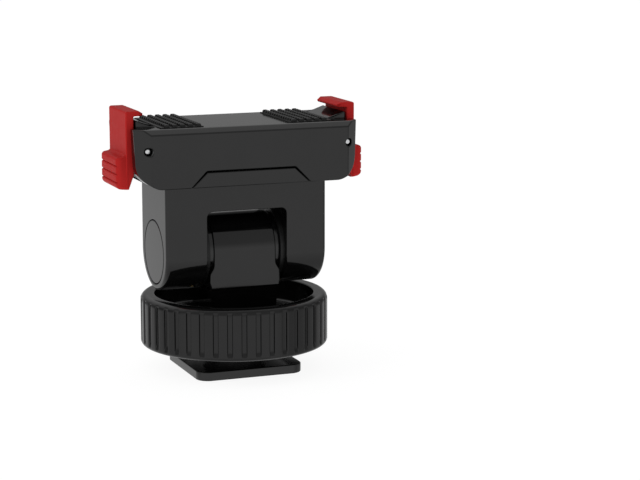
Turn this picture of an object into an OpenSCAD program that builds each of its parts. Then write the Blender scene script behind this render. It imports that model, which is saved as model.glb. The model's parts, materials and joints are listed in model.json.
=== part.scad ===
// Accessory-shoe tilt mount with a quick-release clamp deck.
// A square foot slides into a camera's accessory shoe and a ribbed wheel locks it there.
// A tilting hinge stands on the foot and carries a clamp deck with two sprung end levers.
// Frame: origin at the centre of the foot's underside, X along the hinge axis and the deck,
// Y towards the back, Z up. Millimetres.

/* [Shoe foot] */
// Width of the foot across the shoe (X)
foot_w = 18.5; // [18.3:0.05:18.6]
// Length of the foot along the shoe (Y)
foot_l = 18.6; // [18.0:0.05:18.8]
// Thickness of the foot
foot_t = 1.56; // [1.5:0.02:1.9]
// Corner radius of the foot
foot_r = 2.2; // [1:0.1:3]

/* [Lock wheel] */
// Outside radius over the ribs
wheel_r = 15.85; // [14.5:0.1:16]
// Underside height of the wheel above the foot's underside
wheel_z0 = 4.3; // [4.2:0.05:4.5]
// Height of the wheel
wheel_h = 8.7; // [8.4:0.05:8.8]
// Radius of the dished recess in the top
recess_r = 13.45; // [12.5:0.05:13.6]
// Depth of the recess
recess_d = 4.1; // [3.6:0.05:4.2]
// Number of grip grooves around the rim
groove_n = 42; // [30:1:48]
// Width of a grip groove
groove_w = 0.85; // [0.6:0.05:1]
// Depth of a grip groove
groove_d = 0.45; // [0.3:0.05:0.6]

/* [Hinge] */
// Height of the tilt axis
hinge_z = 20.66; // [20.4:0.02:21]
// Radius of the knuckle's rounded head
knuckle_r = 6.0; // [5.6:0.1:6.3]
// Half-width of the knuckle's head
knuckle_hw = 5.45; // [5.2:0.05:5.5]
// Half-width of the knuckle's flared foot
knuckle_base_hw = 6.1; // [5.6:0.05:6.3]
// Radius of the tilt bolt's shank
bolt_r = 2.0; // [1.8:0.05:2.2]

/* [Fork] */
// Half-width of the fork (X)
fork_hw = 14.0; // [13.6:0.05:14.2]
// Half-depth of the fork (Y)
fork_hd = 7.16; // [6.9:0.02:7.3]
// Height of the cheeks' rounded ends below the tilt axis
fork_hz = 6.5; // [6.3:0.05:6.6]
// Half-width of the gap between the cheeks
slot_hw = 6.95; // [6.9:0.05:7.1]
// Height of the top of the gap
slot_top = 27.98; // [27.6:0.02:28.2]

/* [Deck] */
// Half-length of the deck (X)
deck_hl = 19.35; // [19.1:0.05:19.5]
// Half-depth of the deck (Y)
deck_hd = 9.56; // [9.4:0.02:9.7]
// Height of the deck's underside
deck_z0 = 32.46; // [32.4:0.02:32.6]
// Height of the deck's top
deck_z1 = 42.22; // [42.1:0.02:42.4]
// Width of the flat across each upright corner of the deck, along X and Y
deck_c = 2.3; // [1.8:0.1:2.6]

/* [Levers] */
// Half-width of a lever's arm (Y)
lever_hw = 5.0; // [4.6:0.05:5.1]
// Half-width of a lever's grooved paddle (Y)
paddle_hw = 4.6; // [4:0.05:4.6]
// Height of the lever pivots
pivot_z = 38.68; // [38.5:0.02:38.9]
// Distance of a lever pivot from the centre
pivot_x = 17.3; // [17.2:0.05:17.4]
// Height of the hooks' tops
hook_top = 44.9; // [44.6:0.05:45.2]

/* [Grip pads] */
// Inner edge of a pad from the centre
pad_x0 = 7.55; // [7.3:0.05:8.2]
// Outer edge of a pad
pad_x1 = 14.8; // [14.2:0.1:14.9]
// Half-depth of a pad
pad_hd = 7.5; // [7:0.1:8]
// Height of the studs' tips above the deck
stud_h = 0.55; // [0.4:0.05:0.8]

/* [Hidden] */
fn = 96;
wheel_z1 = wheel_z0 + wheel_h;
floor_z = wheel_z1 - recess_d;
stem_r = 5.0;
stem_top = 9.0;
dowel_x = 3.6;
collar_r = 6.2;
screw_x = 12.0;
screw_y = 4.6;
black = [0.05, 0.05, 0.05];
red = [0.62, 0.06, 0.06];
steel = [0.62, 0.63, 0.65];
brass = [0.72, 0.56, 0.28];
rubber = [0.03, 0.03, 0.03];

// A rounded rectangle with true corner arcs, centred
module rrect(w, l, r) {
  union() {
    square([w - 2 * r, l], center = true);
    square([w, l - 2 * r], center = true);
    for (sx = [-1, 1], sy = [-1, 1])
      translate([sx * (w / 2 - r), sy * (l / 2 - r)]) circle(r = r, $fn = 64);
  }
}

// A cylinder along X, from x0 to x1
module xcyl(r, x0, x1, f = fn) {
  translate([x0, 0, 0]) rotate([0, 90, 0]) cylinder(r = r, h = x1 - x0, $fn = f);
}

// A hexagon-holed button head screw along +Z: head at the top, tip at z = 0
module button_screw(shank_r, len, head_r, head_h, hex_af, hex_d) {
  difference() {
    union() {
      cylinder(r = shank_r, h = len + 0.01, $fn = fn);
      translate([0, 0, len]) rotate_extrude($fn = fn)
        polygon([[0, 0], [head_r, 0], [head_r, 0.45 * head_h], [head_r - 0.35 * head_h, 0.85 * head_h],
                 [head_r - 0.75 * head_h, head_h], [0, head_h]]);
    }
    translate([0, 0, len + head_h - hex_d]) cylinder(r = hex_af / sqrt(3), h = hex_d + 1, $fn = 6);
  }
}

// A countersunk screw along +Z: tip at z = 0, head flush at z = len
module sunk_screw(shank_r, len, head_r, hex_af, hex_d) {
  difference() {
    rotate_extrude($fn = fn)
      polygon([[0, 0], [shank_r - 0.3, 0], [shank_r, 0.3], [shank_r, len - 0.15 - (head_r - shank_r)],
               [head_r, len - 0.15], [head_r, len], [0, len]]);
    translate([0, 0, len - hex_d]) cylinder(r = hex_af / sqrt(3), h = hex_d + 1, $fn = 6);
  }
}

// The room for a countersunk screw, clear by g all round
module sunk_hole(shank_r, len, head_r, g = 0.03) {
  rotate_extrude($fn = fn)
    polygon([[0, -0.1], [shank_r + g, -0.1], [shank_r + g, len - 0.15 - (head_r - shank_r)],
             [head_r + g, len - 0.15], [head_r + g, len + 1], [0, len + 1]]);
}

// ---------------------------------------------------------------- base
// The shoe's foot: a plain plate, countersunk from below
module foot_plate() {
  color(black) difference() {
    linear_extrude(foot_t) rrect(foot_w, foot_l, foot_r);
    translate([0, 0, 12.6]) mirror([0, 0, 1]) sunk_hole(2.0, 12.5, 3.6);
    for (s = [-1, 1]) translate([s * dowel_x, 0, 0.9]) cylinder(r = 0.63, h = 2, $fn = 48);
  }
}

// The threaded sleeve that the wheel runs on
module stem() {
  color(black) difference() {
    translate([0, 0, foot_t]) cylinder(r = stem_r, h = stem_top - foot_t, $fn = fn);
    translate([0, 0, 12.6]) mirror([0, 0, 1]) sunk_hole(2.0, 12.5, 3.6);
    for (s = [-1, 1]) translate([s * dowel_x, 0, 0]) cylinder(r = 0.63, h = 20, $fn = 48);
  }
}

// One countersunk screw holds the foot, sleeve and knuckle together from below
module foot_screw() {
  color(steel) translate([0, 0, 12.6]) mirror([0, 0, 1]) sunk_screw(2.0, 12.5, 3.6, 2.5, 1.1);
}

// Two dowels stop the foot from turning on the knuckle
module dowel_pins() {
  color(steel) for (s = [-1, 1]) translate([s * dowel_x, 0, 0.95]) cylinder(r = 0.6, h = 10.3, $fn = 48);
}

// The hinge's middle knuckle on a block and a round collar
module knuckle() {
  color(black) difference() {
    union() {
      // rounded head
      translate([0, 0, hinge_z]) xcyl(knuckle_r, -knuckle_hw, knuckle_hw);
      // body down from the head, flaring towards its foot
      translate([0, knuckle_r, 0]) rotate([90, 0, 0]) linear_extrude(2 * knuckle_r)
        polygon([[-knuckle_hw, hinge_z], [-knuckle_hw, 18.6], [-knuckle_hw - 0.25, 18.0], [-knuckle_base_hw, 17.3],
                 [-knuckle_base_hw, 15.2], [knuckle_base_hw, 15.2], [knuckle_base_hw, 17.3],
                 [knuckle_hw + 0.25, 18.0], [knuckle_hw, 18.6], [knuckle_hw, hinge_z]]);
      // foot block, and the tapering block below it that stands in the wheel's recess
      translate([-knuckle_base_hw, -6.2, 14.6]) cube([2 * knuckle_base_hw, 12.4, 1.4]);
      hull() {
        translate([-knuckle_base_hw + 0.05, -6.0, 14.5]) cube([2 * knuckle_base_hw - 0.1, 12.0, 0.2]);
        translate([-5.7, -5.2, 10.2]) cube([11.4, 10.4, 0.2]);
      }
      // collar that passes down into the wheel's centre
      translate([0, 0, stem_top]) cylinder(r = collar_r, h = 1.25, $fn = fn);
    }
    translate([0, 0, hinge_z]) xcyl(bolt_r + 0.05, -10, 10);
    translate([0, 0, stem_top - 1]) cylinder(r = 2.03, h = 4.7, $fn = fn);
    for (s = [-1, 1]) translate([s * dowel_x, 0, stem_top - 1]) cylinder(r = 0.63, h = 3.35, $fn = 48);
    // spot faces for the hard washers
    translate([0, 0, hinge_z]) {
      xcyl(5.76, knuckle_hw, 9);
      xcyl(5.76, -9, -knuckle_hw);
    }
  }
}

// Hard washers that stay with the knuckle, one each side
module spacer_washers() {
  color(black) for (s = [-1, 1]) translate([s > 0 ? 5.46 : -6.12, 0, hinge_z]) difference() {
    xcyl(5.7, 0, 0.66);
    xcyl(bolt_r + 0.05, -1, 2);
  }
}

// ---------------------------------------------------------------- clamp
// The plate that the wheel pushes down on the shoe's rails; it slides and doesn't turn
module clamp_washer() {
  color(black) difference() {
    translate([0, 0, 3.55]) cylinder(r = 9.2, h = 0.65, $fn = fn);
    translate([0, 0, 3]) cylinder(r = stem_r + 0.06, h = 2, $fn = fn);
  }
}

// Its soft lining
module clamp_pad() {
  color(rubber) difference() {
    translate([0, 0, 3.15]) cylinder(r = 8.9, h = 0.4, $fn = fn);
    translate([0, 0, 3]) cylinder(r = stem_r + 0.4, h = 2, $fn = fn);
  }
}

// ---------------------------------------------------------------- wheel
// The ribbed wheel, dished on top and relieved underneath
module lock_wheel() {
  color(black) difference() {
    rotate_extrude($fn = 180)
      polygon([[6.6, wheel_z0 + 3.7], [8.02, wheel_z0 + 3.7], [8.02, wheel_z0], [10.2, wheel_z0], [10.2, wheel_z0 + 2.4],
               [13.4, wheel_z0 + 2.4], [13.4, wheel_z0], [wheel_r - 0.8, wheel_z0], [wheel_r, wheel_z0 + 0.8],
               [wheel_r, wheel_z1 - 1.3], [wheel_r - 0.38, wheel_z1 - 0.38], [wheel_r - 1.3, wheel_z1],
               [recess_r, wheel_z1], [recess_r, floor_z], [6.6, floor_z]]);
    for (i = [0 : groove_n - 1]) rotate([0, 0, (i + 0.5) * 360 / groove_n])
      translate([wheel_r - groove_d, -groove_w / 2, wheel_z0 + 0.55]) cube([2, groove_w, wheel_h - 1.2]);
  }
}

// The threaded insert that runs on the sleeve
module wheel_insert() {
  color(brass) difference() {
    translate([0, 0, wheel_z0 + 0.1]) cylinder(r = 8.0, h = 3.55, $fn = fn);
    translate([0, 0, wheel_z0 - 1]) cylinder(r = stem_r + 0.05, h = 8, $fn = fn);
  }
}

// ---------------------------------------------------------------- fork
// The U-shaped bracket that the deck stands on
module fork() {
  cap_r = 5.42;
  color(black) difference() {
    intersection() {
      union() {
        translate([0, 0, hinge_z]) scale([1, 1, fork_hz / fork_hd]) xcyl(fork_hd, -fork_hw, fork_hw, 128);
        translate([-fork_hw, -fork_hd, hinge_z]) cube([2 * fork_hw, 2 * fork_hd, deck_z0 - hinge_z]);
      }
      linear_extrude(60) rrect(2 * fork_hw, 2 * fork_hd, 0.7);
    }
    // gap between the cheeks
    translate([0, 20, 0]) rotate([90, 0, 0]) linear_extrude(40) union() {
      translate([-slot_hw, 5]) square([2 * slot_hw, slot_top - 1 - 5]);
      translate([-slot_hw + 1, 5]) square([2 * slot_hw - 2, slot_top - 5]);
      for (s = [-1, 1]) translate([s * (slot_hw - 1), slot_top - 1]) circle(r = 1, $fn = 64);
    }
    // bolt hole, seats for its head, spring washer, nut and cap
    translate([0, 0, hinge_z]) {
      xcyl(bolt_r + 0.03, -20, 20);
      xcyl(4.1, fork_hw - 3.1, fork_hw + 1);
      xcyl(cap_r + 0.03, -fork_hw - 1, -fork_hw + 1.0);
      translate([-fork_hw + 0.5, 0, 0]) rotate([0, 90, 0]) cylinder(r = 7.05 / sqrt(3), h = 3.8, $fn = 6);
    }
    // threaded holes for the deck's screws
    for (sx = [-1, 1], sy = [-1, 1]) translate([sx * screw_x, sy * screw_y, 28.2]) cylinder(r = 1.28, h = 10, $fn = 48);
  }
}

// Friction washers that stay with the cheeks
module friction_washers() {
  color(rubber) for (s = [-1, 1]) translate([s > 0 ? 6.2 : -6.94, 0, hinge_z]) difference() {
    xcyl(6.3, 0, 0.74);
    xcyl(bolt_r + 0.03, -1, 2);
  }
}

// The tilt bolt: hexagon socket in the right cheek
module hinge_bolt() {
  color(steel) translate([-12.9, 0, hinge_z]) rotate([0, 90, 0]) button_screw(bolt_r, 24.5, 3.8, 2.2, 2.5, 1.6);
}

// Spring washer under the bolt's head
module spring_washer() {
  color(steel) translate([0, 0, hinge_z]) difference() {
    xcyl(3.9, fork_hw - 3.08, fork_hw - 2.42);
    xcyl(bolt_r + 0.02, 5, 20);
  }
}

// The tilt bolt's nut, let into the left cheek
module hinge_nut() {
  color(steel) translate([-fork_hw + 1.05, 0, hinge_z]) rotate([0, 90, 0]) difference() {
    cylinder(r = 7.0 / sqrt(3), h = 3.2, $fn = 6);
    translate([0, 0, -1]) cylinder(r = bolt_r + 0.02, h = 10, $fn = fn);
  }
}

// Round cap that closes the nut's seat
module hinge_cap() {
  color(black) translate([0, 0, hinge_z]) xcyl(5.3, -fork_hw, -fork_hw + 0.98);
}

// ---------------------------------------------------------------- deck
// Half of the deck's front outline: a slight draft and a rounded lower corner
function corner() = [[deck_hl - 4.0, deck_z0], [deck_hl - 3.35, deck_z0 + 0.12], [deck_hl - 2.65, deck_z0 + 0.42],
  [deck_hl - 1.9, deck_z0 + 0.88], [deck_hl - 1.2, deck_z0 + 1.44], [deck_hl - 0.7, deck_z0 + 2.06],
  [deck_hl - 0.4, deck_z0 + 2.84], [deck_hl - 0.24, deck_z0 + 3.8]];

function flipx(p) = [for (i = [len(p) - 1 : -1 : 0]) [-p[i][0], p[i][1]]];

module deck_outline() {
  polygon(concat(corner(), [[deck_hl, deck_z1], [-deck_hl, deck_z1]], flipx(corner())));
}

module cover_outline(g) {
  polygon([[-10.25 - 1.3 * g, deck_z0 - g], [-7.6 - 0.5 * g, 34.95 + g], [7.6 + 0.5 * g, 34.95 + g], [10.25 + 1.3 * g, deck_z0 - g]]);
}

// The room at one end for a lever, its eye and its spring
module lever_room() {
  translate([0, lever_hw + 0.5, 0]) rotate([90, 0, 0]) linear_extrude(2 * lever_hw + 1)
    polygon([[21, 30], [21, 50], [18.3, 50], [18.3, 41.2], [14.8, 41.2], [14.8, 33.3], [16.2, 33.3], [16.2, 30]]);
}

// The ramped lip below a hook
module lip() {
  translate([0, 4.9, 0]) rotate([90, 0, 0]) linear_extrude(9.8)
    polygon([[14.95, deck_z1 - 0.6], [14.95, deck_z1 + 0.06], [18.25, deck_z1 + 1.2], [18.3, deck_z1 + 1.15], [18.3, deck_z1 - 0.6]]);
}

module deck_shell() {
  color(black) difference() {
    union() {
      intersection() {
        translate([0, 20, 0]) rotate([90, 0, 0]) linear_extrude(40) deck_outline();
        linear_extrude(60)
          polygon([[-deck_hl, -deck_hd + deck_c], [-deck_hl + deck_c, -deck_hd], [deck_hl - deck_c, -deck_hd], [deck_hl, -deck_hd + deck_c],
                   [deck_hl, deck_hd - deck_c], [deck_hl - deck_c, deck_hd], [-deck_hl + deck_c, deck_hd], [-deck_hl, deck_hd - deck_c]]);
        // chamfered front and back top edges
        translate([-30, 0, 0]) rotate([90, 0, 90]) linear_extrude(60)
          polygon([[-deck_hd, 30], [-deck_hd, deck_z1 - 0.84], [-deck_hd + 1.07, deck_z1],
                   [deck_hd - 1.07, deck_z1], [deck_hd, deck_z1 - 0.84], [deck_hd, 30]]);
      }
      lip();
      mirror([1, 0, 0]) lip();
    }
    // notch for the cover
    translate([0, 20, 0]) rotate([90, 0, 0]) linear_extrude(40) cover_outline(0.2);
    lever_room();
    mirror([1, 0, 0]) lever_room();
    // pivot pin holes, open at the front and back
    for (s = [-1, 1]) translate([s * pivot_x, 20, pivot_z]) rotate([90, 0, 0]) cylinder(r = 0.67, h = 40, $fn = 48);
    // pockets for the keeper plate and the magnets
    translate([-7.0, -6.6, 33]) cube([14, 13.2, 3.6]);
    for (s = [-1, 1]) translate([s * 3.9, 0, 34]) cylinder(r = 3.0, h = 6.9, $fn = 64);
    // screw holes under the pads
    for (sx = [-1, 1], sy = [-1, 1]) translate([sx * screw_x, sy * screw_y, deck_z1 - 13.85]) sunk_hole(1.25, 13.75, 2.35);
  }
}

// The cover that closes the middle of the deck from below
module deck_cover() {
  color(black) translate([0, deck_hd, 0]) rotate([90, 0, 0]) linear_extrude(2 * deck_hd) cover_outline(0);
}

// Four screws under the pads hold the deck to the fork
module deck_screws() {
  color(steel) for (sx = [-1, 1], sy = [-1, 1]) translate([sx * screw_x, sy * screw_y, deck_z1 - 13.85])
    sunk_screw(1.25, 13.75, 2.35, 1.5, 0.9);
}

// Steel plate behind the magnets
module keeper_plate() {
  color(steel) translate([-6.9, -6.5, 35.25]) cube([13.8, 13, 1.2]);
}

// Two disc magnets under the middle of the deck
module magnets() {
  color(steel) for (s = [-1, 1]) translate([s * 3.9, 0, 36.5]) cylinder(r = 2.9, h = 4.3, $fn = 64);
}

// Studded anti-slip pads, one row of studs drawn as one ridge
module pad_half() {
  pitch = 2 * pad_hd / 14;
  intersection() {
    union() {
      translate([pad_x0, -pad_hd, deck_z1]) cube([pad_x1 - pad_x0, 2 * pad_hd, 0.2]);
      for (i = [0 : 13]) translate([pad_x0, -pad_hd + (i + 0.5) * pitch - 0.3, deck_z1 + 0.1])
        cube([pad_x1 - pad_x0, 0.6, stud_h - 0.1]);
    }
    translate([0, 0, 30]) linear_extrude(20)
      polygon([[0, -20], [pad_x1 - 1, -pad_hd - 0.1], [pad_x1 + 0.1, -pad_hd + 1], [pad_x1 + 0.1, pad_hd - 1], [pad_x1 - 1, pad_hd + 0.1], [0, 20]]);
  }
}

module grip_pads() {
  color(rubber) {
    pad_half();
    mirror([1, 0, 0]) pad_half();
  }
}

// Pins that the levers turn on, one right through each end
module lever_pins() {
  color(steel) for (s = [-1, 1]) translate([s * pivot_x, deck_hd - 1.1, pivot_z]) rotate([90, 0, 0])
    cylinder(r = 0.65, h = 2 * deck_hd - 2.2, $fn = 48);
}

// ---------------------------------------------------------------- levers
// A lever: hook above, eye on the pin, grooved thumb paddle below
module lever_body() {
  difference() {
    union() {
      // arm and hook
      translate([0, lever_hw, 0]) rotate([90, 0, 0]) linear_extrude(2 * lever_hw)
        polygon([[18.6, 33.2], [18.6, 44.05], [17.15, 44.05], [16.95, 44.2], [16.9, 44.4], [17.6, hook_top], [19.6, hook_top],
                 [19.87, hook_top - 0.08], [19.95, hook_top - 0.35], [19.95, 32.6], [19.7, 32.3], [19.3, 32.2], [18.9, 32.5]]);
      // paddle with three thumb grooves
      translate([0, paddle_hw, 0]) rotate([90, 0, 0]) linear_extrude(2 * paddle_hw)
        polygon([[19.3, 38.6], [19.95, 38.2], [20.1, 37.75], [20.5, 37.5], [21.1, 37.35], [21.4, 37.1], [21.55, 36.6],
                 [21.5, 36.25], [21.3, 36.0], [21.5, 35.75], [21.55, 35.3], [21.5, 34.9], [21.3, 34.65], [21.5, 34.4],
                 [21.55, 34.0], [21.5, 33.55], [21.3, 33.3], [21.45, 33.05], [21.4, 32.6], [21.15, 32.25], [20.6, 32.1], [19.3, 32.2]]);
      // eye around the pin
      translate([pivot_x, lever_hw, pivot_z]) rotate([90, 0, 0]) cylinder(r = 1.9, h = 2 * lever_hw, $fn = 64);
      translate([pivot_x, -lever_hw, pivot_z - 1.9]) cube([2, 2 * lever_hw, 3.8]);
    }
    translate([pivot_x, 20, pivot_z]) rotate([90, 0, 0]) cylinder(r = 0.7, h = 40, $fn = 48);
  }
}

module lever_right() { color(red) lever_body(); }
module lever_left() { color(red) mirror([1, 0, 0]) lever_body(); }

// A return spring between the deck and a paddle, drawn as its outer sleeve
module spring_body() {
  translate([0, 0, 34.9]) difference() {
    xcyl(1.25, 14.85, 18.55, 48);
    xcyl(0.85, 14, 20, 48);
  }
}
module spring_right() { color(steel) spring_body(); }
module spring_left() { color(steel) mirror([1, 0, 0]) spring_body(); }

foot_plate();
stem();
foot_screw();
dowel_pins();
knuckle();
spacer_washers();
clamp_washer();
clamp_pad();
lock_wheel();
wheel_insert();
fork();
friction_washers();
hinge_bolt();
spring_washer();
hinge_nut();
hinge_cap();
deck_shell();
deck_cover();
deck_screws();
keeper_plate();
magnets();
grip_pads();
lever_pins();
lever_left();
lever_right();
spring_left();
spring_right();
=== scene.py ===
"""Looks of the accessory-shoe tilt mount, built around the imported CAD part."""
import json
import math

import bmesh
import bpy
from mathutils import Matrix, Vector


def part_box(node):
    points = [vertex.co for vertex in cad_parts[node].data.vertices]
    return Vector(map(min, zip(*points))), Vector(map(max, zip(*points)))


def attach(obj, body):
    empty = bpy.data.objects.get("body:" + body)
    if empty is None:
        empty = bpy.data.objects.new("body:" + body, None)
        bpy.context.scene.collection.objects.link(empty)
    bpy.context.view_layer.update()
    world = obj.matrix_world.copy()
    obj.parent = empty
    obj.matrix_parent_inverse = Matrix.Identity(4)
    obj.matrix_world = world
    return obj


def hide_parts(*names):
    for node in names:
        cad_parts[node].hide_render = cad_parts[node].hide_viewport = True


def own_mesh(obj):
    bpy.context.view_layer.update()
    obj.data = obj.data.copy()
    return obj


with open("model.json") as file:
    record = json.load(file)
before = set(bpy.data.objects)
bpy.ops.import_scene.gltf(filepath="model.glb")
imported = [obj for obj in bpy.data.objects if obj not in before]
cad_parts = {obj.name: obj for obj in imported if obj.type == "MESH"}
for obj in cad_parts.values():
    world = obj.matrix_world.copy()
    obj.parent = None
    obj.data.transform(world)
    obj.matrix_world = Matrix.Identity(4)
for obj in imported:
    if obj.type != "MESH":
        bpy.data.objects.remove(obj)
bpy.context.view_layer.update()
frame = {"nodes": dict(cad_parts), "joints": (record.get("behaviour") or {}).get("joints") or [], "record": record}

# ------------------------------------------------------------------ places, in millimetres, from the frame
record = frame["record"]
mount_at = {m["name"]: [v * 1000 for v in m["pos_m"]] for m in record["mounts"]}
joint_at = {j["name"]: [v * 1000 for v in j.get("pos_m", (0, 0, 0))] for j in frame["joints"]}


def mm_box(node):
    lo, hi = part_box(node)
    return lo * 1000, hi * 1000


deck_lo, deck_hi = mm_box("deck_shell")
fork_lo, fork_hi = mm_box("fork")
foot_lo, foot_hi = mm_box("foot_plate")
wheel_lo, wheel_hi = mm_box("lock_wheel")
knuckle_lo, knuckle_hi = mm_box("knuckle")
cap_lo, cap_hi = mm_box("hinge_cap")
pads_lo, pads_hi = mm_box("grip_pads")
lever_lo, lever_hi = mm_box("lever_right")
pins_lo, pins_hi = mm_box("lever_pins")
cover_lo, cover_hi = mm_box("deck_cover")
bolt_lo, bolt_hi = mm_box("hinge_bolt")
spring_lo, spring_hi = mm_box("spring_right")
DECK_TOP = mount_at["camera_seat"][2]
HINGE_Z = joint_at["tilt"][2]
PIVOT_X = joint_at["right_press"][0]
PIVOT_Z = joint_at["right_press"][2]

# ------------------------------------------------------------------ mesh helpers, working in millimetres


def link(name, mesh):
    o = bpy.data.objects.new(name, mesh)
    bpy.context.scene.collection.objects.link(o)
    return o


def solid(name, verts, faces):
    """A closed mesh object from points in millimetres."""
    mesh = bpy.data.meshes.new(name)
    mesh.from_pydata([tuple(v) for v in verts], [], faces)
    bm = bmesh.new()
    bm.from_mesh(mesh)
    bmesh.ops.remove_doubles(bm, verts=bm.verts, dist=1e-4)
    bmesh.ops.dissolve_degenerate(bm, edges=bm.edges, dist=1e-4)
    bmesh.ops.recalc_face_normals(bm, faces=bm.faces)
    bm.to_mesh(mesh)
    bm.free()
    return link(name, mesh)


def loft(name, rings):
    """A closed solid through rings with equal numbers of points, with a flat cap at each end."""
    n = len(rings[0])
    verts = [p for r in rings for p in r]
    faces = [list(range(n))[::-1], [(len(rings) - 1) * n + i for i in range(n)]]
    for k in range(len(rings) - 1):
        for i in range(n):
            j = (i + 1) % n
            faces.append([k * n + i, k * n + j, (k + 1) * n + j, (k + 1) * n + i])
    return solid(name, verts, faces)


def at(p, w, axis):
    return {"x": (w, p[0], p[1]), "y": (p[0], w, p[1]), "z": (p[0], p[1], w)}[axis]


def prism(name, outline, lo, hi, axis):
    return loft(name, [[at(p, w, axis) for p in outline] for w in (lo, hi)])


def fillet(points, radii, seg=6):
    """A polygon with its corners rounded; a radius per corner or one for all."""
    n = len(points)
    if not hasattr(radii, "__len__"):
        radii = [radii] * n
    out = []
    for i, (q, r) in enumerate(zip(points, radii)):
        p = Vector(q)
        a, b = Vector(points[i - 1]) - p, Vector(points[(i + 1) % n]) - p
        la, lb = a.length, b.length
        a.normalize()
        b.normalize()
        angle = a.angle(b)
        if r <= 0 or abs(math.pi - angle) < 1e-3:
            out.append(tuple(p))
            continue
        d = min(r / math.tan(angle / 2), 0.49 * la, 0.49 * lb)
        r = d * math.tan(angle / 2)
        c = p + (a + b).normalized() * (r / math.sin(angle / 2))
        v0, v1 = p + a * d - c, p + b * d - c
        t0, t1 = math.atan2(v0.y, v0.x), math.atan2(v1.y, v1.x)
        turn = (t1 - t0 + math.pi) % (2 * math.pi) - math.pi
        for j in range(seg + 1):
            t = t0 + turn * j / seg
            out.append((c.x + r * math.cos(t), c.y + r * math.sin(t)))
    return out


def rrect(hw, hl, r, seg=8):
    return fillet([(-hw, -hl), (hw, -hl), (hw, hl), (-hw, hl)], r, seg)


def lathe(name, profile, centre=(0, 0, 0), axis="z", n=96):
    """A solid of revolution from a closed profile of (radius, height) points about an axis."""
    verts, faces, index = [], [], []
    for r, h in profile:
        ring = []
        count = 1 if r < 1e-6 else n
        for i in range(count):
            t = 2 * math.pi * i / n
            u, v = r * math.cos(t), r * math.sin(t)
            p = {"z": (u, v, h), "x": (h, u, v), "y": (v, h, u)}[axis]
            ring.append(len(verts))
            verts.append((p[0] + centre[0], p[1] + centre[1], p[2] + centre[2]))
        index.append(ring * n if count == 1 else ring)
    m = len(profile)
    for k in range(m):
        a, b = index[k], index[(k + 1) % m]
        if a[0] == a[-1] and b[0] == b[-1]:
            continue
        for i in range(n):
            j = (i + 1) % n
            f = [a[i], a[j], b[j], b[i]]
            f = [v for s, v in enumerate(f) if v != f[s - 1]]
            if len(set(f)) > 2:
                faces.append(f)
    return solid(name, verts, faces)


def rod(name, r, lo, hi, axis, centre=(0, 0, 0), n=64):
    return lathe(name, [(0, lo), (r, lo), (r, hi), (0, hi)], centre, axis, n)


def bake(o):
    bpy.context.view_layer.update()
    graph = bpy.context.evaluated_depsgraph_get()
    mesh = bpy.data.meshes.new_from_object(o.evaluated_get(graph))
    old = o.data
    o.modifiers.clear()
    o.data = mesh
    bpy.data.meshes.remove(old)
    return o


def cut(o, *tools, how="DIFFERENCE"):
    """Booleans with the exact solver; the tools are used up."""
    for tool in tools:
        m = o.modifiers.new("cut", "BOOLEAN")
        m.operation = how
        m.solver = "EXACT"
        m.object = tool
        bake(o)
        mesh = tool.data
        bpy.data.objects.remove(tool)
        bpy.data.meshes.remove(mesh)
    bm = bmesh.new()
    bm.from_mesh(o.data)
    bmesh.ops.remove_doubles(bm, verts=bm.verts, dist=2e-4)
    bmesh.ops.dissolve_degenerate(bm, edges=bm.edges, dist=2e-4)
    bmesh.ops.dissolve_limit(bm, angle_limit=math.radians(0.3), verts=bm.verts, edges=bm.edges)
    bm.to_mesh(o.data)
    bm.free()
    return o


def done(o, body, material, nodes=(), bevel=0.0, seg=3, angle=32, sharp=50):
    """Rounds the edges, brings the piece to metres and puts it on its body."""
    if bevel:
        m = o.modifiers.new("bevel", "BEVEL")
        m.width = bevel
        m.segments = seg
        m.limit_method = "ANGLE"
        m.angle_limit = math.radians(angle)
        m.use_clamp_overlap = False
        m.miter_outer = "MITER_ARC"
        bake(o)
    o.data.transform(Matrix.Scale(0.001, 4))
    o.data.polygons.foreach_set("use_smooth", [True] * len(o.data.polygons))
    o.data.set_sharp_from_angle(angle=math.radians(sharp))
    m = o.modifiers.new("normals", "WEIGHTED_NORMAL")
    m.mode = "FACE_AREA"
    m.weight = 60
    m.keep_sharp = True
    bake(o)
    o.data.materials.clear()
    o.data.materials.append(material)
    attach(o, body)
    if nodes:
        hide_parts(*nodes)
    return o


# ------------------------------------------------------------------ materials


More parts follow.
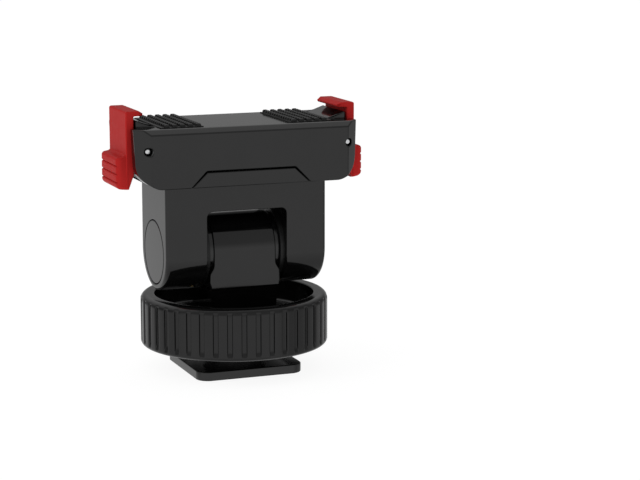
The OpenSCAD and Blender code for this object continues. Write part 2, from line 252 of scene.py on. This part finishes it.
class Finish:
    """A procedural material on object coordinates, which are metres in the shared frame."""

    def __init__(self, name):
        self.material = bpy.data.materials.new(name)
        self.material.use_nodes = True
        self.nodes, self.links = self.material.node_tree.nodes, self.material.node_tree.links
        self.shader = self.nodes["Principled BSDF"]
        self.where = self.nodes.new("ShaderNodeTexCoord").outputs["Object"]

    def set(self, **values):
        for key, value in values.items():
            self.shader.inputs[key.replace("_", " ")].default_value = value
        return self

    def noise(self, scale, detail=3.0, rough=0.5, stretch=(1, 1, 1), distort=0.0):
        mapping = self.nodes.new("ShaderNodeMapping")
        mapping.inputs["Scale"].default_value = stretch
        self.links.new(self.where, mapping.inputs["Vector"])
        n = self.nodes.new("ShaderNodeTexNoise")
        n.inputs["Scale"].default_value = scale
        n.inputs["Detail"].default_value = detail
        n.inputs["Roughness"].default_value = rough
        n.inputs["Distortion"].default_value = distort
        self.links.new(mapping.outputs["Vector"], n.inputs["Vector"])
        return n.outputs["Fac"]

    def ramp(self, fac, stops):
        r = self.nodes.new("ShaderNodeValToRGB")
        e = r.color_ramp.elements
        while len(e) < len(stops):
            e.new(0.5)
        for item, (pos, colour) in zip(e, stops):
            item.position = pos
            item.color = (*colour, 1) if len(colour) == 3 else colour
        self.links.new(fac, r.inputs["Fac"])
        return r.outputs["Color"]

    def colour(self, fac, *stops):
        self.links.new(self.ramp(fac, stops), self.shader.inputs["Base Color"])
        return self

    def spread(self, fac, low, high, a=0.3, b=0.7):
        m = self.nodes.new("ShaderNodeMapRange")
        m.inputs["From Min"].default_value, m.inputs["From Max"].default_value = a, b
        m.inputs["To Min"].default_value, m.inputs["To Max"].default_value = low, high
        self.links.new(fac, m.inputs["Value"])
        return m.outputs["Result"]

    def rough(self, fac, low, high):
        self.links.new(self.spread(fac, low, high), self.shader.inputs["Roughness"])
        return self

    def bump(self, *layers):
        """Layers are (height output, strength, distance in metres)."""
        last = None
        for height, strength, distance in layers:
            b = self.nodes.new("ShaderNodeBump")
            b.inputs["Strength"].default_value = strength
            b.inputs["Distance"].default_value = distance
            self.links.new(height, b.inputs["Height"])
            if last is not None:
                self.links.new(last, b.inputs["Normal"])
            last = b.outputs["Normal"]
        self.links.new(last, self.shader.inputs["Normal"])
        return self


def grey(v, tint=0.0):
    return (v, v, v * (1 + tint))


def black_plastic(name, low, high, rough, grain=0.03, level=0.5):
    f = Finish(name)
    broad = f.noise(190, 4, 0.6)
    fine = f.noise(5200, 2, 0.5)
    f.set(IOR=1.5, Specular_IOR_Level=level)
    f.colour(broad, (0.35, grey(low, 0.03)), (0.65, grey(high, 0.02)))
    f.rough(f.noise(420, 5, 0.65), rough - 0.015, rough + 0.02)
    f.bump((fine, grain, 1e-5), (broad, 0.02, 3e-5))
    return f.material


body_black = black_plastic("moulded_black", 0.0022, 0.0034, 0.085)
deck_black = black_plastic("deck_black", 0.0022, 0.0034, 0.1)
wheel_black = black_plastic("wheel_black", 0.0024, 0.0038, 0.12, 0.05, 0.42)

f = Finish("coated_metal")
f.set(IOR=1.52, Metallic=0.0)
f.colour(f.noise(260, 4, 0.6), (0.3, grey(0.0026, 0.03)), (0.7, grey(0.004, 0.02)))
f.rough(f.noise(900, 4, 0.6), 0.11, 0.15)
f.bump((f.noise(7000, 2, 0.5), 0.08, 1.5e-5), (f.noise(900, 2, 0.5), 0.04, 3e-5))
coated_metal = f.material

f = Finish("stud_rubber")
f.set(IOR=1.45, Specular_IOR_Level=0.35)
f.colour(f.noise(1500, 4, 0.6), (0.3, grey(0.004)), (0.7, grey(0.0072)))
f.rough(f.noise(2500, 3, 0.6), 0.32, 0.46)
f.bump((f.noise(9000, 3, 0.6), 0.25, 2.5e-5))
stud_rubber = f.material

f = Finish("red_satin")
f.set(IOR=1.42, Specular_IOR_Level=0.04)
mottle = f.noise(230, 4, 0.55)
f.colour(mottle, (0.3, (0.44, 0.0185, 0.0175)), (0.7, (0.46, 0.0205, 0.0195)))
f.rough(f.noise(700, 4, 0.6), 0.36, 0.46)
f.bump((f.noise(6500, 3, 0.6), 0.14, 2e-5), (mottle, 0.03, 6e-5))
red_satin = f.material

f = Finish("bright_steel")
f.set(Metallic=1.0)
f.colour(f.noise(700, 4, 0.6), (0.3, (0.62, 0.63, 0.64)), (0.7, (0.72, 0.725, 0.735)))
f.rough(f.noise(1600, 3, 0.6, (1, 1, 9)), 0.16, 0.3)
f.bump((f.noise(4200, 3, 0.6, (1, 1, 12)), 0.12, 1.5e-5))
bright_steel = f.material

f = Finish("turned_brass")
f.set(Metallic=1.0)
f.colour(f.noise(600, 4, 0.6), (0.3, (0.6, 0.43, 0.19)), (0.7, (0.7, 0.52, 0.25)))
f.rough(f.noise(1800, 3, 0.6, (1, 1, 10)), 0.2, 0.34)
f.bump((f.noise(3800, 3, 0.6, (1, 1, 14)), 0.15, 1.5e-5))
turned_brass = f.material

f = Finish("nickel_plating")
f.set(Metallic=1.0)
f.colour(f.noise(500, 4, 0.6), (0.3, (0.66, 0.64, 0.6)), (0.7, (0.74, 0.72, 0.68)))
f.rough(f.noise(1300, 3, 0.6), 0.1, 0.2)
f.bump((f.noise(5200, 2, 0.5), 0.05, 1e-5))
nickel = f.material

for node, material in {
    "stem": coated_metal, "foot_screw": bright_steel, "dowel_pins": bright_steel, "spacer_washers": coated_metal,
    "spring_washer": bright_steel, "hinge_nut": bright_steel, "deck_screws": bright_steel, "keeper_plate": bright_steel,
    "magnets": nickel, "wheel_insert": turned_brass, "friction_washers": stud_rubber,
}.items():
    o = frame["nodes"][node]
    if not o.material_slots:
        o.data.materials.append(material)
    for s in o.material_slots:
        s.material = material

# ------------------------------------------------------------------ foot plate
fw, fl = foot_hi.x, foot_hi.y
o = prism("foot_plate_body", rrect(fw, fl, 2.2, 14), foot_lo.z, foot_hi.z, "z")
cut(o, lathe("t", [(0, -1), (3.63, -1), (3.63, 0.15), (2.03, 1.75), (2.03, 3), (0, 3)], n=96))
done(o, "base", coated_metal, ["foot_plate"], bevel=0.2, seg=3)

# ------------------------------------------------------------------ knuckle: rounded head, flared foot, tapering block and round collar
kr = 6.0
hw, base_hw = 5.45, 6.1
side = [(kr * math.cos(t), HINGE_Z + kr * math.sin(t)) for t in [math.pi * i / 56 for i in range(57)]]
side += [(-kr, 14.62), (kr, 14.62)]
o = prism("knuckle_body", side, -base_hw, base_hw, "x")
front = fillet([(-hw, 30), (-hw, 18.5), (-base_hw, 17.4), (-base_hw, 14), (base_hw, 14), (base_hw, 17.4), (hw, 18.5), (hw, 30)],
               [0, 1.2, 0.9, 0, 0, 0.9, 1.2, 0], 8)
cut(o, prism("t", front, -10, 10, "y"), how="INTERSECT")
low, high = rrect(5.68, 5.18, 0.4, 4), rrect(base_hw - 0.06, 5.94, 0.4, 4)
cut(o, loft("t", [[(x, y, 10.22) for x, y in low], [(x, y, 14.66) for x, y in high]]), how="UNION")
cut(o, lathe("t", [(0, knuckle_lo.z), (6.0, knuckle_lo.z), (6.2, knuckle_lo.z + 0.2), (6.2, 10.1), (6.05, 10.25), (0, 10.25)], n=96), how="UNION")
cut(o, rod("t", 2.05, -10, 10, "x", (0, 0, HINGE_Z)),
    rod("t", 5.76, hw + 0.01, 9, "x", (0, 0, HINGE_Z), 96), rod("t", 5.76, -9, -hw - 0.01, "x", (0, 0, HINGE_Z), 96),
    rod("t", 2.03, 5, 13.7, "z", n=48))
done(o, "base", body_black, ["knuckle"], bevel=0.28, seg=3)

# ------------------------------------------------------------------ clamp washer and its lining
lo, hi = mm_box("clamp_washer")
o = lathe("clamp_washer_body", fillet([(5.06, lo.z), (hi.x, lo.z), (hi.x, hi.z), (5.06, hi.z)], 0.12, 4), n=128)
done(o, "clamp", coated_metal, ["clamp_washer"])
lo, hi = mm_box("clamp_pad")
o = lathe("clamp_lining", fillet([(5.4, lo.z), (hi.x, lo.z), (hi.x, hi.z), (5.4, hi.z)], 0.1, 4), n=128)
done(o, "clamp", stud_rubber, ["clamp_pad"])

# ------------------------------------------------------------------ lock wheel: a fine radial grid with fading channels
WR, WZ0, WZ1 = wheel_hi.y - 0.002, wheel_lo.z, wheel_hi.z
RIBS, RECESS_Z, RECESS_R = 42, 8.9, 13.45
outer = fillet([(13.4, WZ0), (WR, WZ0), (WR, WZ1), (RECESS_R, WZ1)], [0.25, 0.7, 1.3, 0.3], 9)
body_line = list(outer)
steps = 26
a = max(i for i, p in enumerate(body_line) if p[1] < WZ0 + 2)
b = a + 1
za, zb = body_line[a][1], body_line[b][1]
wall = [(WR, za + (zb - za) * i / steps) for i in range(1, steps)]
profile = body_line[:a + 1] + wall + body_line[b:]
inner = fillet([(RECESS_R, WZ1 + 1), (RECESS_R, RECESS_Z), (6.6, RECESS_Z), (6.6, WZ0 + 3.7), (8.02, WZ0 + 3.7), (8.02, WZ0),
                (10.2, WZ0), (10.2, WZ0 + 2.4), (13.4, WZ0 + 2.4), (13.4, WZ0 - 1)],
               [0, 0.45, 0.25, 0.15, 0.1, 0.15, 0.2, 0.3, 0.3, 0], 4)[1:-1]
profile = profile + inner
arc = 2 * math.pi * WR / RIBS
half, soft = 0.42, 0.06
marks = [0, 0.2, 0.34, half - soft * 0.6, half - soft * 0.2, half + soft * 0.2, half + soft * 0.6, 0.56, 0.8]
across = sorted({-m for m in marks[1:]} | set(marks)) + [arc / 2]
angles = [(k * arc + m) / WR for k in range(RIBS) for m in across]


def smooth(t):
    t = min(1, max(0, t))
    return t * t * (3 - 2 * t)


def channel(m, z):
    """Depth of the grip channel at arc distance m from its centre and height z."""
    m = abs((m + arc / 2) % arc - arc / 2)
    side_step = 1 - smooth((m - half + soft) / (2 * soft))
    ends = smooth((z - WZ0 - 0.45) / 1.2) * smooth((WZ1 - 0.42 - z) / 0.8)
    return 0.34 * side_step * ends


verts, faces = [], []
n = len(angles)
for k, (r, z) in enumerate(profile):
    grooved = r > 14.4 and k < len(body_line) + steps
    for t in angles:
        rr = r - (channel(t * WR, z) if grooved else 0)
        verts.append((rr * math.cos(t), rr * math.sin(t), z))
m_ = len(profile)
for k in range(m_):
    for i in range(n):
        j = (i + 1) % n
        k2 = (k + 1) % m_
        faces.append([k * n + i, k * n + j, k2 * n + j, k2 * n + i])
o = solid("lock_wheel_body", verts, faces)
done(o, "wheel", wheel_black, ["lock_wheel"], sharp=60)

# ------------------------------------------------------------------ fork
FW, FD = fork_hi.x, fork_hi.y
top = fork_hi.z


def stadium(d):
    r, h = FD - d, HINGE_Z - fork_lo.z - d
    pts = [(-r, top)]
    pts += [(-r * math.cos(t), HINGE_Z - h * math.sin(t)) for t in [math.pi * i / 72 for i in range(73)]]
    return pts + [(r, top)]


rim = 0.7
rings = [(-FW + rim * (1 - math.cos(math.pi / 2 * i / 6)), rim * (1 - math.sin(math.pi / 2 * i / 6))) for i in range(7)]
rings += [(-x, d) for x, d in reversed(rings)]
o = loft("fork_body", [[(x, *p) for p in stadium(d)] for x, d in rings])
SW, ST = 6.95, 27.98
slot_line = fillet([(-SW, 5), (SW, 5), (SW, ST), (-SW, ST)], [0, 0, 1.0, 1.0], 8)
cut(o, prism("t", slot_line, -12, 12, "y"))
cut(o, rod("t", 5.42, -FW - 1, -FW + 1.0, "x", (0, 0, HINGE_Z), 96), rod("t", 4.15, -FW + 0.5, -FW + 4.3, "x", (0, 0, HINGE_Z), 64),
    rod("t", 2.03, -12, 12, "x", (0, 0, HINGE_Z), 48), rod("t", 4.1, FW - 3.1, FW + 1, "x", (0, 0, HINGE_Z), 96))
done(o, "head", body_black, ["fork"], bevel=0.16, seg=3, angle=34)

o = lathe("hinge_cap_body", fillet([(0, -FW), (5.3, -FW), (5.3, cap_hi.x), (0, cap_hi.x)], [0, 0.16, 0.1, 0], 4), (0, 0, HINGE_Z), "x", 128)
done(o, "head", body_black, ["hinge_cap"])

# tilt bolt with its button head and hexagon socket
head0 = bolt_hi.x - 2.2
line = [(0, bolt_lo.x), (1.7, bolt_lo.x), (2.0, bolt_lo.x + 0.3), (2.0, head0), (3.7, head0), (3.8, head0 + 0.1), (3.8, head0 + 0.55)]
line += [(3.8 - 1.5 * (1 - math.cos(t)) , head0 + 0.55 + 1.65 * math.sin(t)) for t in [math.pi / 2 * i / 8 for i in range(1, 9)]]
line += [(0, bolt_hi.x)]
o = lathe("hinge_bolt_body", line, (0, 0, HINGE_Z), "x", 96)
hexa = [(2.52 / math.sqrt(3) * math.cos(math.radians(60 * i + 30)), HINGE_Z + 2.52 / math.sqrt(3) * math.sin(math.radians(60 * i + 30))) for i in range(6)]
cut(o, prism("t", hexa, bolt_hi.x - 1.6, bolt_hi.x + 1, "x"))
done(o, "head", bright_steel, ["hinge_bolt"], bevel=0.05, seg=2, angle=50)

# ------------------------------------------------------------------ deck shell
DL, DD, DZ0, DZ1 = deck_hi.x, deck_hi.y, deck_lo.z, DECK_TOP
end = fillet([(DL - 5, DZ0), (DL - 4.0, DZ0), (DL - 3.35, DZ0 + 0.12), (DL - 2.65, DZ0 + 0.42), (DL - 1.9, DZ0 + 0.88), (DL - 1.2, DZ0 + 1.44),
              (DL - 0.7, DZ0 + 2.06), (DL - 0.4, DZ0 + 2.84), (DL - 0.24, DZ0 + 3.8), (DL, DZ1)], [0] + [2.5] * 8 + [0], 4)[1:]
FLAT = 2.3
plan = [(-DL, -DD + FLAT), (-DL + FLAT, -DD), (DL - FLAT, -DD), (DL, -DD + FLAT)]
plan = fillet(plan + [(-x, -y) for x, y in plan], 0.5, 5)
o = prism("deck_shell_body", plan, DZ0, DZ1, "z")
outline = end + [(DL, DZ1 + 3), (-DL, DZ1 + 3)] + [(-x, z) for x, z in reversed(end)]
cut(o, prism("t", outline, -20, 20, "y"), how="INTERSECT")
slope = [(-DD - 2, DZ1 - 0.84 - 2 * 0.84 / 1.07), (-DD + 1.07 * 2.2, DZ1 + 0.84 * 1.2), (-DD - 2, DZ1 + 2)]
cut(o, prism("t", slope, -30, 30, "x"), prism("t", [(-y, z) for y, z in slope], -30, 30, "x"))
for s in (1, -1):
    lip = [(14.95, DZ1 - 0.6), (14.95, DZ1 + 0.06), (18.0, DZ1 + 1.11), (18.3, DZ1 + 1.15), (18.6, DZ1 + 1.1), (18.6, DZ1 - 0.6)]
    cut(o, prism("t", [(s * x, z) for x, z in lip], -4.9, 4.9, "y"), how="UNION")
for s in (1, -1):
    room = [(21, 30), (21, 50), (18.3, 50), (18.3, 41.2), (14.8, 41.2), (14.8, 33.3), (16.2, 33.3), (16.2, 30)]
    cut(o, prism("t", [(s * x, z) for x, z in room], -5.5, 5.5, "y"))
seam = [(-10.51, DZ0 - 0.2), (-7.7, 35.15), (7.7, 35.15), (10.51, DZ0 - 0.2)]
cut(o, prism("t", seam, -12, 12, "y"))
for s in (1, -1):
    cut(o, rod("t", 0.67, -12, 12, "y", (s * PIVOT_X, 0, PIVOT_Z), 40))
done(o, "head", deck_black, ["deck_shell"], bevel=0.2, seg=3, angle=31)

cover = [(-10.25, DZ0), (-7.6, 34.95), (7.6, 34.95), (10.25, DZ0)]
o = prism("deck_cover_body", cover, cover_lo.y, cover_hi.y, "y")
cut(o, prism("t", rrect(6.95, 6.55, 0.3), 34.0, 36, "z"))
done(o, "head", deck_black, ["deck_cover"], bevel=0.2, seg=3)

# ------------------------------------------------------------------ studded pads
X0, X1, YH, PTOP = 7.55, pads_hi.x, pads_hi.y, pads_hi.z
COLS, ROWS = 5, 14
for s, name in ((-1, "grip_pad_left"), (1, "grip_pad_right")):
    px, py = 1.34, 2 * (YH - 0.05) / ROWS
    base = DZ1 + 0.12
    level = [base, PTOP - 0.1, PTOP]
    xs, ys = [X0], [-YH]
    kx, ky = [0], [0]
    for c in range(COLS):
        mid = X0 + 0.08 + px * (c + 0.5)
        for off, kind in ((-0.44, 0), (-0.38, 1), (-0.24, 2), (0.24, 2), (0.38, 1), (0.44, 0)):
            xs.append(mid + off)
            kx.append(kind)
    xs.append(X1)
    kx.append(0)
    for c in range(ROWS):
        mid = -YH + 0.05 + py * (c + 0.5)
        for off, kind in ((-0.31, 0), (-0.27, 1), (-0.15, 2), (0.15, 2), (0.27, 1), (0.31, 0)):
            ys.append(mid + off)
            ky.append(kind)
    ys.append(YH)
    ky.append(0)
    verts, faces = [], []
    for i, x in enumerate(xs):
        for j, y in enumerate(ys):
            verts.append((s * x, y, level[min(kx[i], ky[j])]))
    nx, ny = len(xs), len(ys)
    ring = [(i, 0) for i in range(nx)] + [(nx - 1, j) for j in range(1, ny)] + [(i, ny - 1) for i in range(nx - 2, -1, -1)] + [(0, j) for j in range(ny - 2, 0, -1)]
    for i in range(nx - 1):
        for j in range(ny - 1):
            faces.append([i * ny + j, (i + 1) * ny + j, (i + 1) * ny + j + 1, i * ny + j + 1])
    low = len(verts)
    for i, j in ring:
        verts.append((s * xs[i], ys[j], DZ1))
    for k, (i, j) in enumerate(ring):
        i2, j2 = ring[(k + 1) % len(ring)]
        faces.append([i * ny + j, low + k, low + (k + 1) % len(ring), i2 * ny + j2])
    faces.append([low + k for k in range(len(ring))])
    o = solid(name, verts, faces)
    done(o, "head", stud_rubber, ["grip_pads"], sharp=34)

# ------------------------------------------------------------------ lever pins
for s, name in ((-1, "lever_pin_left"), (1, "lever_pin_right")):
    y = pins_hi.y
    o = lathe(name, fillet([(0, -y), (0.5, -y), (0.5, y), (0, y)], [0, 0.2, 0.2, 0], 5), (s * PIVOT_X, 0, PIVOT_Z), "y", 40)
    done(o, "head", bright_steel, ["lever_pins"])

# ------------------------------------------------------------------ levers
TOP = lever_hi.z - 0.01
OUT = lever_hi.x - 0.01
GROOVES = (36.0, 34.65, 33.3)


def paddle_x(z):
    """Outer face of the thumb paddle at height z, without its grooves."""
    if z < 33.05:
        return OUT - 0.95 + 0.95 * math.sqrt(max(0, 1 - ((33.05 - z) / 0.95) ** 2))
    if z < 36.85:
        return OUT
    if z < 37.42:
        return OUT - 0.6 + 0.6 * math.sqrt(max(0, 1 - ((z - 36.85) / 0.6) ** 2))
    top_line = [(37.42, OUT - 0.6 + 0.6 * math.sqrt(1 - (0.57 / 0.6) ** 2)), (37.5, 20.6), (37.56, 20.38), (37.66, 20.2), (37.82, 20.02), (38.1, 19.8)]
    for (z0, x0), (z1, x1) in zip(top_line, top_line[1:]):
        if z <= z1:
            return x0 + (x1 - x0) * (z - z0) / (z1 - z0)
    return 19.8


def lever(name):
    """The right-hand lever; the left one is its mirror image."""
    arm = [(18.6, 34.6), (18.6, 44.05), (17.1, 44.05), (16.9, 44.25), (16.92, 44.45), (17.62, TOP), (19.95, TOP), (19.95, 32.14), (19.5, 32.2)]
    o = prism(name, fillet(arm, [1.5, 0.25, 0.08, 0.1, 0.1, 0.25, 0.35, 0.3, 0.6], 6), -5.0, 5.0, "y")
    plan = [(15, -5.3), (16.6, -4.25), (17.0, -4.6), (17.7, -5.0), (21, -5.0)]
    plan = plan + [(x, -y) for x, y in reversed(plan)]
    cut(o, prism("t", fillet(plan, 0.12, 3), 20, 60, "z"), how="INTERSECT")
    eye = rod("t", 1.9, -4.97, 4.97, "y", (PIVOT_X, 0, PIVOT_Z), 64)
    block = prism("t", [(PIVOT_X, PIVOT_Z - 1.88), (19.2, PIVOT_Z - 1.88), (19.2, PIVOT_Z + 1.88), (PIVOT_X, PIVOT_Z + 1.88)], -4.97, 4.97, "y")
    cut(o, eye, block, how="UNION")
    cut(o, rod("t", 0.7, -12, 12, "y", (PIVOT_X, 0, PIVOT_Z), 40))
    m = o.modifiers.new("bevel", "BEVEL")
    m.width, m.segments, m.limit_method, m.angle_limit, m.use_clamp_overlap = 0.24, 4, "ANGLE", math.radians(33), False
    bake(o)
    # the paddle: sections up its height, with grooves across its face and sloping flanks
    heights = {32.1 + 0.95 * (1 - math.cos(math.pi / 2 * i / 8)) for i in range(9)}
    heights |= {36.85 + 0.57 * math.sin(math.pi / 2 * i / 7) for i in range(8)}
    heights |= {g + d for g in GROOVES for d in (-0.3, -0.2, -0.14, -0.09, -0.04, 0, 0.04, 0.09, 0.14, 0.2, 0.3)}
    heights |= {34.0, 35.3, 36.5, 37.5, 37.56, 37.66, 37.82, 38.1}
    rings = []
    for z in sorted({round(h, 2) for h in heights}):
        x = paddle_x(z)
        depth = 0.26 * sum(math.exp(-((z - g) / 0.11) ** 2) for g in GROOVES)
        inner = 19.45 if z < 33.2 else 19.1
        k = min(1.0, (x - inner) / 1.3)
        squeeze = 0.25 * max(0.0, (32.7 - z) / 0.6) ** 2 + 0.05
        half = [(inner, 4.9 - squeeze), (x - 0.8 * k, 4.9 - squeeze), (x - 0.34 * k, 4.62 - squeeze), (x - 0.16 * k - 0.4 * depth, 4.5 - squeeze),
                (x - 0.05 * k - 0.85 * depth, 4.38 - squeeze), (x - depth, 4.22 - squeeze)]
        rings.append([(a, -b, z) for a, b in half] + [(a, b, z) for a, b in reversed(half)])
    return cut(o, loft("t", rings), how="UNION")


for s, name, node, body in ((-1, "lever_left_body", "lever_left", "left_lever"), (1, "lever_right_body", "lever_right", "right_lever")):
    o = lever(name)
    if s < 0:
        o.data.transform(Matrix.Scale(-1, 4, (1, 0, 0)))
        o.data.flip_normals()
    done(o, body, red_satin, [node], sharp=42)

# ------------------------------------------------------------------ return springs: real coils
sz, sy = (spring_lo.z + spring_hi.z) / 2, (spring_lo.y + spring_hi.y) / 2
sr, wire, turns = (spring_hi.z - spring_lo.z) / 2, 0.17, 5.0
for s, name, node, joint in ((-1, "return_spring_left", "spring_left", "left_press"), (1, "return_spring_right", "spring_right", "right_press")):
    x0, x1 = spring_lo.x + wire, spring_hi.x - wire
    path = []
    count = 150
    for i in range(count + 1):
        u = i / count
        # the end coils lie close, as on a ground spring
        v = min(1, max(0, (u - 0.12) / 0.76))
        w = 0.06 * min(1, u / 0.12) + 0.88 * v + 0.06 * max(0, (u - 0.88) / 0.12)
        t = 2 * math.pi * (turns + 1.5) * u
        path.append(Vector((s * (x0 + (x1 - x0) * w), sy + (sr - wire) * math.cos(t), sz + (sr - wire) * math.sin(t))))
    rings = []
    for i, p in enumerate(path):
        d = (path[min(i + 1, count)] - path[max(i - 1, 0)]).normalized()
        out = Vector((0, p.y - sy, p.z - sz)).normalized()
        side = d.cross(out).normalized()
        out = side.cross(d).normalized()
        rings.append([tuple(p + (out * math.cos(a) + side * math.sin(a)) * wire) for a in [2 * math.pi * q / 10 for q in range(10)]])
    o = loft(name, rings)
    done(o, "head", bright_steel, [node], sharp=80)
    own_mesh(o)

# ------------------------------------------------------------------ floor, light and camera
floor_mesh = bpy.data.meshes.new("floor")
floor_mesh.from_pydata([(-6, -6, 0), (6, -6, 0), (6, 6, 0), (-6, 6, 0)], [], [(0, 1, 2, 3)])
floor = link("floor", floor_mesh)
floor.location.z = foot_lo.z / 1000 - 0.00005
f = Finish("pale_floor")
f.set(Roughness=1.0, Specular_IOR_Level=0.0)
f.colour(f.noise(40, 3, 0.5), (0.3, grey(0.16)), (0.7, grey(0.17)))
f.set(Emission_Color=(1, 1, 1, 1), Emission_Strength=0.91)
floor.data.materials.append(f.material)
floor.visible_glossy = False

world = bpy.data.worlds.new("studio")
bpy.context.scene.world = world
world.use_nodes = True
wn, wl = world.node_tree.nodes, world.node_tree.links
coord = wn.new("ShaderNodeTexCoord")
split = wn.new("ShaderNodeSeparateXYZ")
wl.new(coord.outputs["Generated"], split.inputs["Vector"])


def sky_ramp(fac, stops):
    r = wn.new("ShaderNodeValToRGB")
    while len(r.color_ramp.elements) < len(stops):
        r.color_ramp.elements.new(0.5)
    for e, (pos, v) in zip(r.color_ramp.elements, stops):
        e.position = pos
        e.color = (v, v, v, 1)
    wl.new(fac, r.inputs["Fac"])
    return r.outputs["Color"]


# a pale room in front, a greyer wall behind, brighter overhead
height = wn.new("ShaderNodeMapRange")
height.inputs["From Min"].default_value, height.inputs["From Max"].default_value = -1.0, 1.0
wl.new(split.outputs["Z"], height.inputs["Value"])
behind = sky_ramp(height.outputs["Result"], [(0.0, 0.7), (0.42, 0.64), (0.5, 0.3), (0.6, 0.23), (0.7, 0.5), (0.85, 0.95)])
before = sky_ramp(height.outputs["Result"], [(0.0, 0.45), (0.33, 0.84), (0.52, 0.86), (0.66, 0.5), (1.0, 0.45)])
side = wn.new("ShaderNodeMapRange")
side.interpolation_type = "SMOOTHSTEP"
side.inputs["From Min"].default_value, side.inputs["From Max"].default_value = -0.35, 0.35
wl.new(split.outputs["Y"], side.inputs["Value"])
blend = wn.new("ShaderNodeMix")
blend.data_type = "RGBA"
wl.new(side.outputs["Result"], blend.inputs["Factor"])
wl.new(before, blend.inputs[6])
wl.new(behind, blend.inputs[7])
# and dimmer towards the right
dim = wn.new("ShaderNodeMapRange")
dim.interpolation_type = "SMOOTHSTEP"
dim.inputs["From Min"].default_value, dim.inputs["From Max"].default_value = 0.45, 0.9
dim.inputs["To Min"].default_value, dim.inputs["To Max"].default_value = 1.0, 0.6
wl.new(split.outputs["X"], dim.inputs["Value"])
scale = wn.new("ShaderNodeVectorMath")
scale.operation = "SCALE"
wl.new(blend.outputs[2], scale.inputs[0])
wl.new(dim.outputs["Result"], scale.inputs["Scale"])
wl.new(scale.outputs[0], wn["Background"].inputs["Color"])
wn["Background"].inputs["Strength"].default_value = 1.0


def lamp(name, where, size, power):
    light = bpy.data.lights.new(name, "AREA")
    light.shape = "DISK"
    light.size = size
    light.energy = power
    o = bpy.data.objects.new(name, light)
    bpy.context.scene.collection.objects.link(o)
    o.location = where
    o.rotation_euler = (Vector((0, 0, 0.03)) - Vector(where)).to_track_quat("-Z", "Y").to_euler()
    o.visible_glossy = False
    return o


lamp("key_soft", (-0.8, -0.1, 0.6), 0.6, 1.5)

camera = bpy.data.cameras.new("camera")
camera.lens = 114.0
camera.sensor_width = 36
camera.clip_start = 0.01
camera.clip_end = 30
cam = bpy.data.objects.new("camera", camera)
bpy.context.scene.collection.objects.link(cam)
right = Vector((0.9309, -0.3652, 0.0)).normalized()
forward = Vector((0.3593, 0.9158, -0.1792)).normalized()
up = right.cross(forward).normalized()
right = forward.cross(up).normalized()
rot = Matrix((right, up, -forward)).transposed().to_4x4()
cam.matrix_world = Matrix.Translation(Vector((-0.10947, -0.31904, 0.08311))) @ rot
bpy.context.scene.camera = cam

bpy.context.scene.view_settings.view_transform = "Standard"
bpy.context.scene.view_settings.look = "None"
bpy.context.scene.view_settings.exposure = 0.0
bpy.context.scene.view_settings.gamma = 1.0
